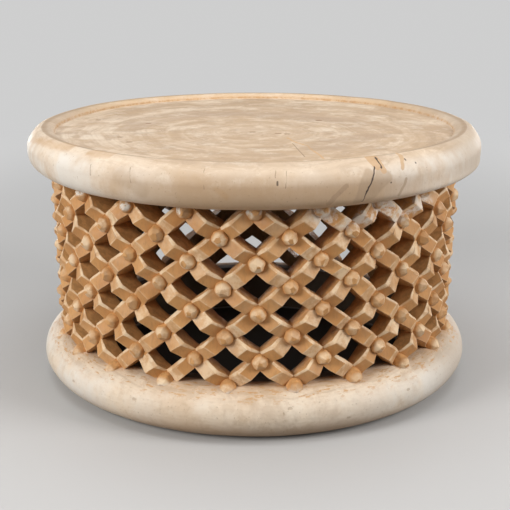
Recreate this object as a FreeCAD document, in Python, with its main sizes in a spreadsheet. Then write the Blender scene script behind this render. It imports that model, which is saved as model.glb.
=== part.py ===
import FreeCAD, Part
import math
import os
import re

import Sketcher

# African drum table: a dished round top and a round base ring, joined by an openwork wall of
# crossing diagonal ribs with a faceted stud on every crossing. The real table is hollowed and
# carved out of one log, so its pieces meet along the carving's own creases, face to face.
# Frame: +Z up, origin on the floor under the centre, the photographed side towards -Y.

# Driving dimensions in millimetres, degrees and counts
DIMENSIONS = [
    ("crossing_radius", 338.0, "outer radius in the valleys of the crossings, at the base ring"),
    ("wall_flare", 6.5, "how much further out those valleys are under the top"),
    ("base_overhang", 48.0, "crossings out to the widest line of the base ring"),
    ("base_height", 87.0, "floor to the seat that the wall stands on"),
    ("base_belly_height", 47.0, "floor to the widest line of the base ring"),
    ("base_rounding", 52.0, "how far the base ring's rounding reaches inwards"),
    ("bore_inset", 33.0, "crossings in to the open bore of the base ring"),
    ("wall_height", 290.5, "base ring to the underside of the top"),
    ("foot_thickness", 20.5, "crossings in to the wall's inner face at the base ring"),
    ("head_thickness", 49.0, "crossings in to the wall's inner face under the top"),
    ("ridge_rise", 17.0, "ridge across the middle of a strut, above the valleys"),
    ("rib_width", 25.0, "width of a rib across its run"),
    ("columns", 21, "ribs of each lean round the wall"),
    ("rows", 8, "rows of crossings"),
    ("foot_row_height", 0.5, "lowest row of crossings above the base ring"),
    ("head_row_drop", 6.2, "highest row of crossings below the top"),
    ("first_column_angle", -7.1, "first crossing of the lowest row, from -Y towards +X"),
    ("wall_twist", 1.8, "drift of the pattern towards +X from head to foot"),
    ("stud_radius", 12.5, "stud, centre to its corners"),
    ("stud_shoulder", 9.0, "height of the stud's upright sides above the valley"),
    ("stud_height", 21.5, "height of the stud's point above the valley"),
    ("stud_sides", 6, "facets cut round a stud, an even number"),
    ("top_overhang", 62.0, "crossings out to the widest line of the top"),
    ("top_thickness", 72.0, "underside of the top to the crest of its rim"),
    ("rim_belly_height", 41.0, "underside of the top to its widest line"),
    ("underside_rounding", 48.0, "how far the rim's lower rounding reaches inwards"),
    ("crest_rounding", 36.5, "how far the rim's upper rounding reaches inwards"),
    ("dish_inset", 12.5, "crest of the rim in to the dish's flat floor"),
    ("dish_depth", 10.5, "crest of the rim down to the dish's floor"),
    ("rounding_flats", 4, "turned flats that make each quarter of a rounding"),
]

doc = FreeCAD.newDocument("drum_table")
sheet = doc.addObject("Spreadsheet::Sheet", "Dimensions")
for line, (alias, value, note) in enumerate(DIMENSIONS, start=1):
    sheet.set(f"A{line}", alias)
    sheet.set(f"B{line}", str(value))
    sheet.set(f"C{line}", note)
    sheet.setAlias(f"B{line}", alias)
doc.recompute()


def size(expression):
    """Number that the sheet gives for an alias, or for an expression of aliases."""
    return sheet.evalExpression(expression)


def on_sheet(expression):
    """The same expression as another object has to write it."""
    aliases = "|".join(alias for alias, value, note in DIMENSIONS)
    return re.sub(rf"\b({aliases})\b", r"Dimensions.\1", expression)


# Turned pieces: a closed outline of radius and height, revolved about the table's axis

def rounding(centre, reach, rise, start, end):
    """Corners of a quarter ellipse about a centre, from one angle in degrees to another."""
    flats = int(size("rounding_flats"))
    corners = []
    for step in range(flats + 1):
        angle = start + (end - start) * step / flats
        corners.append((f"{centre[0]} + ({reach}) * cos({angle} deg)",
                        f"{centre[1]} + ({rise}) * sin({angle} deg)"))
    return corners


def turned_body(label, outline):
    """Body revolved from the outline, whose corners are pairs of sheet expressions."""
    body = doc.addObject("PartDesign::Body", label)
    plane = next(item for item in body.Origin.OriginFeatures if item.Role == "XZ_Plane")
    sketch = body.newObject("Sketcher::SketchObject", label + "_outline")
    sketch.AttachmentSupport = [(plane, "")]
    sketch.MapMode = "FlatFace"
    points = [FreeCAD.Vector(size(radius), size(height), 0) for radius, height in outline]
    count = len(points)
    for index in range(count):
        sketch.addGeometry(Part.LineSegment(points[index], points[(index + 1) % count]))
    for index in range(count):
        sketch.addConstraint(
            Sketcher.Constraint("Coincident", index - 1 if index else count - 1, 2, index, 1))
    for index, place in enumerate(outline):
        for kind, expression in zip(("DistanceX", "DistanceY"), place):
            number = sketch.addConstraint(
                Sketcher.Constraint(kind, -1, 1, index, 1, size(expression)))
            sketch.setExpression(f"Constraints[{number}]", on_sheet(expression))
    revolution = body.newObject("PartDesign::Revolution", label + "_turning")
    revolution.Profile = sketch
    revolution.ReferenceAxis = (sketch, ["V_Axis"])
    revolution.Angle = 360
    return body


bore = "crossing_radius - bore_inset"
base_centre = ("crossing_radius + base_overhang - base_rounding", "base_belly_height")
base_ring = turned_body("base_ring", [
    (bore, "0"),
    *rounding(base_centre, "base_rounding", "base_belly_height", -90, 0)[:-1],
    *rounding(base_centre, "base_rounding", "base_height - base_belly_height", 0, 90),
    (bore, "base_height"),
])

underside = "base_height + wall_height"
rim_belly = f"{underside} + rim_belly_height"
dish_floor = f"{underside} + top_thickness - dish_depth"
top_reach = "crossing_radius + top_overhang"
tabletop = turned_body("tabletop", [
    ("0", underside),
    *rounding((f"{top_reach} - underside_rounding", rim_belly),
              "underside_rounding", "rim_belly_height", -90, 0)[:-1],
    *rounding((f"{top_reach} - crest_rounding", rim_belly),
              "crest_rounding", "top_thickness - rim_belly_height", 0, 90),
    (f"{top_reach} - crest_rounding - dish_inset", dish_floor),
    ("0", dish_floor),
])


# Openwork wall: drawn on the unrolled face, where x is the arc at the crossing radius and y
# the height, and wrapped round the table's axis. A rib leans right or left as it climbs, and
# runs from crossing to crossing by its own step. Its outer face rises from the valley at each
# crossing to a ridge across the middle of each strut; its sides are cut straight to the axis.
# The valleys lie on a slight cone, wider under the top.

def arc_length(degrees):
    return math.radians(degrees) * size("crossing_radius")


COLUMNS = int(size("columns"))
ROWS = int(size("rows"))
COLUMN_ANGLE = 360 / COLUMNS
ROW_DRIFT = size("wall_twist / (rows - 1)")
ROW_PITCH = size("(wall_height - foot_row_height - head_row_drop) / (rows - 1)")
RIGHT_STEP = FreeCAD.Vector(arc_length(COLUMN_ANGLE / 2 - ROW_DRIFT), ROW_PITCH, 0)
LEFT_STEP = FreeCAD.Vector(-arc_length(COLUMN_ANGLE / 2 + ROW_DRIFT), ROW_PITCH, 0)
FIRST_CROSSING = FreeCAD.Vector(
    arc_length(size("first_column_angle")), size("base_height + foot_row_height"), 0)

# From a crossing to the corners that its two ribs' edges share
CELL_AREA = RIGHT_STEP.cross(LEFT_STEP).Length
ALONG_RIGHT = RIGHT_STEP * (size("rib_width / 2") * LEFT_STEP.Length / CELL_AREA)
ALONG_LEFT = LEFT_STEP * (size("rib_width / 2") * RIGHT_STEP.Length / CELL_AREA)


def wrap(place, radius):
    """Point at a radius from the table's axis, above or below a place on the unrolled face."""
    angle = place.x / size("crossing_radius")
    return FreeCAD.Vector(radius * math.sin(angle), -radius * math.cos(angle), place.y)


def climbed(place):
    """Share of the wall's height that a place has above the base ring."""
    return (place.y - size("base_height")) / size("wall_height")


def valley_radius(place):
    return size("crossing_radius") + size("wall_flare") * climbed(place)


def inner(place):
    """Point of the wall's tapered inner face."""
    thickness = size("foot_thickness") + size("head_thickness - foot_thickness") * climbed(place)
    return wrap(place, size("crossing_radius") - thickness)


def outer(place, crossing, step):
    """Point of a rib's outer face, by how far along the rib it is from a crossing."""
    run = abs((place - crossing).dot(step)) / step.Length
    return wrap(place, valley_radius(place) + size("ridge_rise") * run / (step.Length / 2))


def left_hand(step):
    """From a rib's middle line to its edge on the left of someone who climbs it."""
    return FreeCAD.Vector(-step.y, step.x, 0).normalize() * size("rib_width / 2")


def valley(crossing, step):
    return crossing + left_hand(step), crossing - left_hand(step), crossing, False


def ridge(crossing, step):
    middle = crossing + step / 2
    return middle + left_hand(step), middle - left_hand(step), crossing, True


def faceted_solid(facets):
    """Closed solid of facets that run anticlockwise from outside, each fanned from its first."""
    triangles = []
    for apex, *others in facets:
        for second, third in zip(others, others[1:]):
            triangles.append(Part.Face(Part.makePolygon([apex, second, third, apex])))
    return Part.makeSolid(Part.makeShell(triangles)).removeSplitter()


def rib_solid(stations, step):
    """Stretch of a rib through its stations.

    A station is a left-hand place, a right-hand place, the nearest crossing and whether a
    ridge crosses there. The inner face is straight under a ridge.
    """
    left = [outer(place, crossing, step) for place, other, crossing, is_ridge in stations]
    right = [outer(place, crossing, step) for other, place, crossing, is_ridge in stations]
    inner_left = [inner(place) for place, other, crossing, is_ridge in stations]
    inner_right = [inner(place) for other, place, crossing, is_ridge in stations]
    facets = [[right[0], left[0], inner_left[0], inner_right[0]],
              [right[-1], inner_right[-1], inner_left[-1], left[-1]]]
    for index in range(len(stations) - 1):
        facets.append([right[index], right[index + 1], left[index + 1], left[index]])
    flats = [index for index, station in enumerate(stations) if not station[3]]
    for low, high in zip(flats, flats[1:]):
        facets.append([inner_left[low], inner_left[high], inner_right[high], inner_right[low]])
        facets.append([*left[low + 1:high + 1], inner_left[high], inner_left[low], left[low]])
        facets.append([*right[high - 1:low:-1], right[low],
                       inner_right[low], inner_right[high], right[high]])
    return faceted_solid(facets)


def right_rib():
    """Whole right-leaning rib that starts at the first crossing."""
    crossings = [FIRST_CROSSING + RIGHT_STEP * row for row in range(ROWS)]
    foot, head = crossings[0], crossings[-1]
    stations = [(foot - ALONG_RIGHT + ALONG_LEFT, foot - ALONG_RIGHT - ALONG_LEFT, foot, False)]
    for crossing in crossings[:-1]:
        stations += [valley(crossing, RIGHT_STEP), ridge(crossing, RIGHT_STEP)]
    stations += [
        valley(head, RIGHT_STEP),
        (head + ALONG_RIGHT + ALONG_LEFT, head + ALONG_RIGHT - ALONG_LEFT, head, False)]
    return rib_solid(stations, RIGHT_STEP).common(WALL_SPACE).removeSplitter()


def left_rib():
    """Struts of the left-leaning rib that starts at the first crossing, between right ribs."""
    struts = []
    for row in range(ROWS - 1):
        low = FIRST_CROSSING + LEFT_STEP * row
        high = low + LEFT_STEP
        struts.append(rib_solid([
            (low - ALONG_RIGHT + ALONG_LEFT, low + ALONG_RIGHT + ALONG_LEFT, low, False),
            ridge(low, LEFT_STEP),
            (high - ALONG_RIGHT - ALONG_LEFT, high + ALONG_RIGHT - ALONG_LEFT, high, False),
        ], LEFT_STEP))
    return Part.makeCompound(struts)


def stud(crossing):
    """Pointed stud, cut underneath to sit in the valley between a right rib's two slopes."""
    sides = int(size("stud_sides"))
    base = wrap(crossing, valley_radius(crossing))
    climb = FreeCAD.Vector(base.x, base.y, 0).normalize() * size("wall_flare / wall_height")
    climb = (climb + FreeCAD.Vector(0, 0, 1)).normalize()
    level = FreeCAD.Vector(-base.y, base.x, 0).normalize()
    out = level.cross(climb)
    along = (level * RIGHT_STEP.x + climb * RIGHT_STEP.y).normalize()
    side = out.cross(along)
    slope = size("ridge_rise") / (RIGHT_STEP.Length / 2)
    seat = []
    shoulder = []
    for number in range(sides):
        angle = math.pi / 2 + 2 * math.pi * number / sides
        run = size("stud_radius") * math.cos(angle)
        place = base + along * run + side * (size("stud_radius") * math.sin(angle))
        seat.append(place + out * abs(slope * run))
        shoulder.append(place + out * size("stud_shoulder"))
    point = base + out * size("stud_height")
    half = sides // 2
    facets = [seat[half::-1], [seat[0], *seat[:half - 1:-1]]]
    for number in range(sides):
        following = (number + 1) % sides
        facets.append([seat[number], seat[following], shoulder[following], shoulder[number]])
        facets.append([shoulder[number], shoulder[following], point])
    return faceted_solid(facets)


def stud_row(row):
    """Studs of one row, where the lowest and highest rows are cut off by base and top."""
    first = stud(FIRST_CROSSING + RIGHT_STEP * row)
    if row in (0, ROWS - 1):
        first = first.common(WALL_SPACE).removeSplitter()
    axis = FreeCAD.Vector(0, 0, 1)
    origin = FreeCAD.Vector(0, 0, 0)
    return Part.makeCompound(
        [first.copy().rotate(origin, axis, COLUMN_ANGLE * column) for column in range(COLUMNS)])


# The wall's own storey, between the base ring's seat and the underside of the top
WALL_SPACE = Part.makeCylinder(
    size(top_reach), size("wall_height"), FreeCAD.Vector(0, 0, size("base_height")))


def add_piece(label, shape, turn=0):
    """Sub-part of the wall, turned about the table's axis."""
    piece = doc.addObject("Part::Feature", label)
    piece.Label = label
    piece.Shape = shape
    piece.Placement = FreeCAD.Placement(
        FreeCAD.Vector(0, 0, 0), FreeCAD.Rotation(FreeCAD.Vector(0, 0, 1), turn))
    return piece


pieces = [base_ring, tabletop]
right_shape = right_rib()
left_shape = left_rib()
for column in range(COLUMNS):
    turn = COLUMN_ANGLE * column
    pieces.append(add_piece(f"right_rib_{column + 1:02d}", right_shape, turn))
    pieces.append(add_piece(f"left_rib_{column + 1:02d}", left_shape, turn))
for row in range(ROWS):
    pieces.append(add_piece(f"stud_row_{row + 1}", stud_row(row)))

doc.recompute()
for item in doc.Objects:
    if "Invalid" in item.State or "Error" in item.State:
        raise RuntimeError(f"{item.Label} did not rebuild: {item.State}")
for piece in pieces:
    if piece.Shape.isNull() or not piece.Shape.isValid():
        raise RuntimeError(f"{piece.Label} has no valid shape")
    if any(solid.Volume <= 0 for solid in piece.Shape.Solids):
        raise RuntimeError(f"{piece.Label} has a solid that is inside out")

os.makedirs("parts", exist_ok=True)
for piece in pieces:
    piece.Shape.exportStep(f"parts/{piece.Label}.step")
print(len(pieces), "sub-parts,", sum(len(piece.Shape.Solids) for piece in pieces), "solids")
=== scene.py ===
import math
from functools import partial, reduce

import bmesh
import bpy
import numpy as np
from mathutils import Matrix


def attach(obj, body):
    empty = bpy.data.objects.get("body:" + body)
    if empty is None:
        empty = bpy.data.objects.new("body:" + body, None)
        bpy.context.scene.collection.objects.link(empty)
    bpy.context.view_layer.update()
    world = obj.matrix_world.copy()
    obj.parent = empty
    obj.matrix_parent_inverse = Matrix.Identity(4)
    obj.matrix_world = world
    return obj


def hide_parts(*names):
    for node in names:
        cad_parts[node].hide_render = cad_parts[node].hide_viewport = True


# African drum table, dressed: every CAD node is replaced by a carved or turned piece of the same
# name and place, with hand-cut irregularity, worn edges and procedural wood. Lengths in the mesh
# code are in millimetres and become metres when a mesh is made. Angles round the table are
# measured from -Y, the photographed side, towards +X.

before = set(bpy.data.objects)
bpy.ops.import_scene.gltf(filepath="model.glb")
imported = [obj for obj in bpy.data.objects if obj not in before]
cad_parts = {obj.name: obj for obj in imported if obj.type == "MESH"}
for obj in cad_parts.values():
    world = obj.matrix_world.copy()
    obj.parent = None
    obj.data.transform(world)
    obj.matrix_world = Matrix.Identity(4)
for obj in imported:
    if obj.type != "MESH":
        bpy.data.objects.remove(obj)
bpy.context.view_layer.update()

MM = 0.001


# Carving: small shared irregularities

def wobble(points, wavelength, amplitude, seed):
    """Smooth vector field at the points, the same for every piece that has a point there."""
    draw = np.random.default_rng(seed)
    waves = 12
    total = np.zeros_like(points)
    for _ in range(waves):
        direction = draw.normal(size=3)
        direction /= np.linalg.norm(direction)
        number = 2 * math.pi / (wavelength * draw.uniform(0.7, 1.5))
        phase = draw.uniform(0, 2 * math.pi)
        total += draw.normal(size=3) * np.sin(points @ direction * number + phase)[:, None]
    return total * (amplitude / math.sqrt(waves))


def grid_faces(index):
    """Quads between closed rows of vertex numbers. Corners that repeat a vertex are dropped."""
    faces = []
    rows, columns = index.shape
    for row in range(rows - 1):
        for column in range(columns):
            following = (column + 1) % columns
            corners = [index[row, column], index[row, following],
                       index[row + 1, following], index[row + 1, column]]
            face = [int(v) for i, v in enumerate(corners) if v != corners[i - 1]]
            if len(set(face)) > 2:
                faces.append(face)
    return faces


def capped_faces(index):
    """The same quads, with a face across the first and the last row."""
    return [*grid_faces(index), index[0][::-1].tolist(), index[-1].tolist()]


def add_mesh(name, points, faces, values):
    """Mesh object from points in millimetres, with named numbers stored at its vertices."""
    mesh = bpy.data.meshes.new(name)
    mesh.from_pydata((points * MM).tolist(), [], faces)
    for key, numbers in values.items():
        mesh.attributes.new(key, "FLOAT", "POINT").data.foreach_set(
            "value", np.asarray(numbers, np.float32))
    mesh.validate()
    piece = bpy.data.objects.new(name, mesh)
    bpy.context.scene.collection.objects.link(piece)
    return piece


def outward(piece):
    """Faces turned to look out of the solid."""
    work = bmesh.new()
    work.from_mesh(piece.data)
    bmesh.ops.recalc_face_normals(work, faces=work.faces)
    work.to_mesh(piece.data)
    work.free()


def soften(piece, sharp_degrees):
    """Smooth shading, but for edges sharper than the angle."""
    piece.data.shade_smooth()
    piece.data.set_sharp_from_angle(angle=math.radians(sharp_degrees))


def shade(piece, sharp_degrees):
    """Smooth shading between flats, with the broad flats kept flat."""
    soften(piece, sharp_degrees)
    normals = piece.modifiers.new("flats", "WEIGHTED_NORMAL")
    normals.keep_sharp = True
    normals.weight = 60


def dress(piece, material, slot, *nodes):
    """The piece gets its material, rides on the table and stands for its CAD nodes."""
    piece.data.materials.append(material)
    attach(piece, "root")
    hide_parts(*nodes)


# Openwork wall: laid out on the unrolled face as the CAD lays it out, x along the arc at the
# valleys' radius, y the height, then the radius. A place is named by its column and row. The sizes
# are those of the CAD.

COLUMNS = 21
ROWS = 8
VALLEY_RADIUS = 338.0
WALL_FLARE = 6.5
RIDGE_RISE = 17.0
HALF_RIB = 12.5
WALL_FOOT = 87.0
WALL_HEAD = 377.5
FOOT_THICKNESS = 20.5
HEAD_THICKNESS = 49.0
FOOT_ROW_HEIGHT = 0.5
HEAD_ROW_DROP = 6.2
FIRST_ANGLE = -7.1
WALL_TWIST = 1.8

INNER_FOOT_RADIUS = VALLEY_RADIUS - FOOT_THICKNESS
INNER_HEAD_RADIUS = VALLEY_RADIUS - HEAD_THICKNESS
COLUMN_ANGLE = 360 / COLUMNS
ROW_DRIFT = WALL_TWIST / (ROWS - 1)
FIRST_ROW = WALL_FOOT + FOOT_ROW_HEIGHT
ROW_PITCH = (WALL_HEAD - WALL_FOOT - FOOT_ROW_HEIGHT - HEAD_ROW_DROP) / (ROWS - 1)


def arc_length(degrees):
    """Length along the unrolled face."""
    return math.radians(degrees) * VALLEY_RADIUS


RIGHT_STEP = np.array([arc_length(COLUMN_ANGLE / 2 - ROW_DRIFT), ROW_PITCH])
LEFT_STEP = np.array([-arc_length(COLUMN_ANGLE / 2 + ROW_DRIFT), ROW_PITCH])
RIGHT_RUN = np.linalg.norm(RIGHT_STEP)
LEFT_RUN = np.linalg.norm(LEFT_STEP)
CELL_AREA = RIGHT_STEP[0] * LEFT_STEP[1] - RIGHT_STEP[1] * LEFT_STEP[0]
ALONG_RIGHT = RIGHT_STEP * (HALF_RIB * LEFT_RUN / CELL_AREA)
ALONG_LEFT = LEFT_STEP * (HALF_RIB * RIGHT_RUN / CELL_AREA)
CORNERS = {
    "left": ALONG_LEFT - ALONG_RIGHT,
    "top": ALONG_LEFT + ALONG_RIGHT,
    "right": ALONG_RIGHT - ALONG_LEFT,
    "bottom": -ALONG_RIGHT - ALONG_LEFT,
}

SLIP = 0.6
carver = np.random.default_rng(22)
CENTRE_SLIPS = carver.normal(0, SLIP, (COLUMNS, ROWS, 3))
CORNER_SLIPS = {key: carver.normal(0, SLIP, (COLUMNS, ROWS, 3)) for key in CORNERS}
STRUT_HABITS = carver.normal(0, 1, (2, COLUMNS, ROWS, 9))


def climbed(height):
    """Share of the wall's height."""
    return (height - WALL_FOOT) / (WALL_HEAD - WALL_FOOT)


def hump(value, centre, width):
    """Share, 1 at the centre and fading to both sides."""
    return math.exp(-((value - centre) / width) ** 2)


# Where the photographed lattice strays from even steps. An entry is how far it goes at most,
# then the centre and width of where it does so: in degrees round the table, and in rows.
ALL_ROWS = (0, math.inf)
MIDDLE_ROWS = (3.7, 2.3)
LOWEST_ROW = (0, 0.8)
TURN_STRAYS = [(0.35, (4, 16), ALL_ROWS), (-1.0, (33, 9), MIDDLE_ROWS),
               (0.45, (2, 14), LOWEST_ROW)]
RISE_STRAYS = [(-2.3, (2, 12), ALL_ROWS), (2.6, (27, 9), MIDDLE_ROWS)]
PATTERN_TILT = 4.8


def strayed(angle, row):
    """How far the carver's layout strays from even steps, in degrees and millimetres of height.

    The whole pattern also tilts up towards +X.
    """
    angle = (angle + 180) % 360 - 180
    turn, rise = (
        sum(most * hump(angle, *sector) * hump(row, *rows) for most, sector, rows in strays)
        for strays in (TURN_STRAYS, RISE_STRAYS))
    return turn, rise + PATTERN_TILT * math.sin(math.radians(angle))


def crossing(column, row):
    """Centre of a crossing, in the valley."""
    angle = FIRST_ANGLE + COLUMN_ANGLE * column + math.degrees(RIGHT_STEP[0] * row / VALLEY_RADIUS)
    turn, rise = strayed(angle, row)
    height = FIRST_ROW + RIGHT_STEP[1] * row + rise
    radius = VALLEY_RADIUS + WALL_FLARE * climbed(height)
    return np.array([arc_length(angle + turn), height, radius]) + CENTRE_SLIPS[column % COLUMNS, row]


def corner(column, row, key):
    """Corner of the openings round a crossing."""
    offset = CORNERS[key]
    run = abs(offset @ RIGHT_STEP) / RIGHT_RUN
    place = crossing(column, row) + CORNER_SLIPS[key][column % COLUMNS, row]
    return place + [*offset, RIDGE_RISE * run / (RIGHT_RUN / 2)]


# Section of a rib: places across its face, 1 at the upper edge and -1 at the lower, how far the
# face drops there as a share of the edge's rounding, then shares of the wall's depth down its
# sides, the last of which its flat inner face joins. The face's second place is the chamfer's
# lower edge, which face_places() fills in.
EDGE_ROUNDING = 1.0
EDGE = EDGE_ROUNDING / HALF_RIB
FACE_PLACES = np.array([1, 0, 0.62, 0.31, 0, -0.33, -0.66, -1 + EDGE, -1 + 0.3 * EDGE, -1])
FACE_DROPS = np.array([1, 0, 0, 0, 0, 0, 0, 0, 0.3, 1])
WALL_DEPTHS = [0.04, 0.18, 0.42, 0.7]
# Points that the rings over a crossing have in common: the middle of the face, and one on the
# upper side, which the strut that stands there hides
PINNED = [4, 16]


def face_places(chamfer):
    """Places across a rib's face from its upper edge, 1, to its lower edge, -1."""
    places = FACE_PLACES.copy()
    places[1] = 1 - chamfer / HALF_RIB
    return places


def inner_radius(height):
    """Radius of the wall's inner face."""
    return INNER_FOOT_RADIUS + climbed(height) * (INNER_HEAD_RADIUS - INNER_FOOT_RADIUS)


def loop(face, drops, wear_and_highlight, pinned=False):
    """Closed ring round a rib, from its face's points and how far each drops.

    Gives the points, the depth of each as a share of the wall's, the pallor of each from worn edges
    and from a painted highlight, and whether the PINNED ones are the last ring's.
    """
    face = face.copy()
    face[:, 2] -= drops
    points = list(face)
    depths = [0.0] * len(face)
    for edge, shares in ((face[-1], WALL_DEPTHS), (face[0], WALL_DEPTHS[::-1])):
        inside = inner_radius(edge[1])
        points += [[edge[0], edge[1], edge[2] + (inside - edge[2]) * share] for share in shares]
        depths += shares
    return np.array(points), depths, [*wear_and_highlight] + [0.0] * (2 * len(WALL_DEPTHS)), pinned


def rib_mesh(rings):
    """Points, faces, depths and pallor of a rib, from its rings in order; the pallor holds worn
    edges and a painted highlight.
    """
    points, depths, wear_and_highlight, pinned = zip(*rings)
    points = np.array(points)
    count, width = points.shape[:2]
    index = np.arange(count * width).reshape(count, width)
    for number in range(1, count):
        if pinned[number]:
            index[number, PINNED] = index[number - 1, PINNED]
    faces = [*grid_faces(index), index[0].tolist(), index[-1][::-1].tolist()]
    used = np.unique(index)
    renumber = {int(old): new for new, old in enumerate(used)}
    faces = [[renumber[v] for v in face] for face in faces]
    return points.reshape(-1, 3)[used], faces, np.ravel(depths)[used], np.ravel(wear_and_highlight)[used]


def between(ends):
    """Line from an upper end, at 1, to a lower one, at -1, by way of a middle if there is one."""
    upper, *middle, lower = ends

    def place(t):
        if middle:
            end = upper if t >= 0 else lower
            return middle[0] + (end - middle[0]) * abs(t)
        return lower + (upper - lower) * (t + 1) / 2
    return place


def blended(line, other, share):
    """Line that lies a share of the way from one line to the other."""
    return lambda t: line(t) * (1 - share) + other(t) * share


# Struts, in millimetres or shares of a strut's run. A spread goes with each strut's own habits,
# which are in standard deviations.
CHAMFER = 4.0
CHAMFER_SPREAD = 1.7
TAPER_SPREAD = 0.3
RIDGE_SLIP = 0.045
RIDGE_SKEW = 0.022
RIDGE_RISE_SPREAD = 0.9
RIDGE_END_SLIP = 0.45
RIDGE_ROUNDING = 1.2
HOLLOW = 0.35
HOLLOW_SPREAD = 0.3
FACE_WEAR = [1, 1, 0, 0, 0, 0, 0, 0.2, 0.5, 0.6]
RIDGE_WEAR = 0.7
RIDGE_WEAR_REACH = 2.5
PALLOR_SPREAD = 0.22


def strut_ridge(first, last, habits, lean):
    """Line across the middle of a strut, from its start and end lines."""
    skew, slip, rise, *_, upper_slip, lower_slip, _ = habits
    ends = []
    for t, tilt, bulge in ((1, skew, upper_slip), (-1, -skew, lower_slip)):
        end = blended(first, last, 0.5 + RIDGE_SLIP * slip + RIDGE_SKEW * tilt)(t)
        valley = VALLEY_RADIUS + WALL_FLARE * climbed(end[1])
        end[2] = valley + RIDGE_RISE + RIDGE_RISE_SPREAD * rise
        end[:2] += np.array([-lean[1], lean[0]]) * (RIDGE_END_SLIP * bulge * t)
        ends.append(end)
    return between(ends)


def lit_half_pallor(line, middle):
    """Painted highlight on the half of a strut at a line: pale if it is the half further from the
    front, which faces a side lamp.
    """
    to_side = math.sin(middle / VALLEY_RADIUS)
    return 0.47 + 0.14 * to_side if (line(0)[0] - middle) * to_side > 0 else -0.05


def strut(start, end, habits, lean, shares):
    """Rings over one strut, from its start line up to its ridge and on to its end line.

    shares are the rings' places from a line, 0, to the ridge, 1. lean is the direction in which
    the strut climbs.
    """
    *_, chamfer, taper, hollow, _, _, pallor = habits
    chamfer = CHAMFER + CHAMFER_SPREAD * max(-1.5, min(1.8, chamfer))
    taper = max(-0.5, min(0.5, TAPER_SPREAD * taper))
    first, last = between(start), between(end)
    ridge = strut_ridge(first, last, habits, lean)
    half_run = RIGHT_RUN / 2
    slope = RIDGE_RISE / half_run
    middle = (first(0)[0] + last(0)[0]) / 2
    for line, steps, side in ((first, shares, 1), (last, shares[-2::-1], -1)):
        # The half that faces a side lamp gets a painted highlight, with a random spread per strut
        pale = max(0.0, min(0.9, lit_half_pallor(line, middle) + PALLOR_SPREAD * side * pallor))
        for share in steps:
            width = chamfer * (1 + side * taper * (1 - share))
            width = EDGE_ROUNDING + (width - EDGE_ROUNDING) * share ** 0.4
            across = blended(line, ridge, share)
            face = np.array([across(t) for t in face_places(width)])
            off_ridge = (1 - share) * half_run
            if off_ridge < RIDGE_ROUNDING:
                face[:, 2] -= slope * (RIDGE_ROUNDING - off_ridge) ** 2 / (2 * RIDGE_ROUNDING)
            face[:, 2] -= (HOLLOW + HOLLOW_SPREAD * hollow) * 4 * share * (1 - share)
            drops = FACE_DROPS * EDGE_ROUNDING
            drops[0] = EDGE_ROUNDING + (0.95 * width - EDGE_ROUNDING) * share
            crest = max(0.0, 1 - off_ridge / RIDGE_WEAR_REACH)
            # Pallor of the worn ridge and chamfers, and of the painted highlight on the lit half
            yield loop(face, drops, np.maximum(max(crest * RIDGE_WEAR, pale), FACE_WEAR))


FAN_PLACES = face_places(EDGE_ROUNDING)[::-1]
FAN_DROPS = FACE_DROPS[::-1] * EDGE_ROUNDING
CREASE_WEAR = np.array([0.5, 0, 0, 0, 0, 0, 0, 0, 0.3, 0.5])


def crossing_rings(column, row):
    """Rings over a crossing, fanned about its centre."""
    centre = crossing(column, row)
    points = {key: corner(column, row, key) for key in CORNERS}
    upper = between([points["top"], points["left"]])
    lower = between([points["right"], points["bottom"]])
    for number, place in enumerate(FAN_PLACES):
        line = between([upper(place), centre, lower(place)])
        face = np.array([line(t) for t in face_places(EDGE_ROUNDING)])
        at_end = number in (0, len(FAN_PLACES) - 1)
        drops = np.zeros(len(face))
        drops[0] = drops[-1] = FAN_DROPS[number]
        if at_end:
            drops[-2] = FACE_DROPS[-2] * EDGE_ROUNDING
        yield loop(face, drops, CREASE_WEAR if at_end else CREASE_WEAR * 0, number > 0)


def end_ring(column, row, keys):
    """Ring across a rib's end, from corner to corner."""
    line = between([corner(column, row, key) for key in keys])
    face = np.array([line(t) for t in face_places(EDGE_ROUNDING)])
    return loop(face, FACE_DROPS * EDGE_ROUNDING, CREASE_WEAR)


RIGHT_SHARES = [0.12, 0.28, 0.45, 0.62, 0.78, 0.9, 0.955, 1]
LEFT_SHARES = [0, 0.16, 0.34, 0.52, 0.7, 0.85, 0.93, 1]


def right_rib(column):
    """Mesh of the whole rib that climbs to the right from the lowest row's crossing."""
    rings = [end_ring(column, 0, ("left", "bottom"))]
    for row in range(ROWS):
        rings += crossing_rings(column, row)
        if row < ROWS - 1:
            ends = [[corner(column, row, "top"), crossing(column, row),
                     corner(column, row, "right")],
                    [corner(column, row + 1, "left"), crossing(column, row + 1),
                     corner(column, row + 1, "bottom")]]
            rings += strut(*ends, STRUT_HABITS[0, column, row], RIGHT_STEP / RIGHT_RUN,
                           RIGHT_SHARES)
    return rib_mesh([*rings, end_ring(column, ROWS - 1, ("top", "right"))])


def left_struts(column):
    """Meshes of the struts that climb to the left from the lowest row's crossing."""
    struts = []
    for row in range(ROWS - 1):
        low = column - row
        ends = [[corner(low, row, key) for key in ("top", "left")],
                [corner(low - 1, row + 1, key) for key in ("right", "bottom")]]
        struts.append(rib_mesh(strut(*ends, STRUT_HABITS[1, low % COLUMNS, row],
                                     -LEFT_STEP / LEFT_RUN, LEFT_SHARES)))
    return struts


def wrapped(points):
    """Unrolled points put round the table's axis, with the carver's unevenness."""
    angle = points[:, 0] / VALLEY_RADIUS
    round_axis = np.column_stack(
        [points[:, 2] * np.sin(angle), -points[:, 2] * np.cos(angle), points[:, 1]])
    return round_axis + wobble(round_axis, 55, 0.45, 3) + wobble(round_axis, 14, 0.22, 4)


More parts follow.
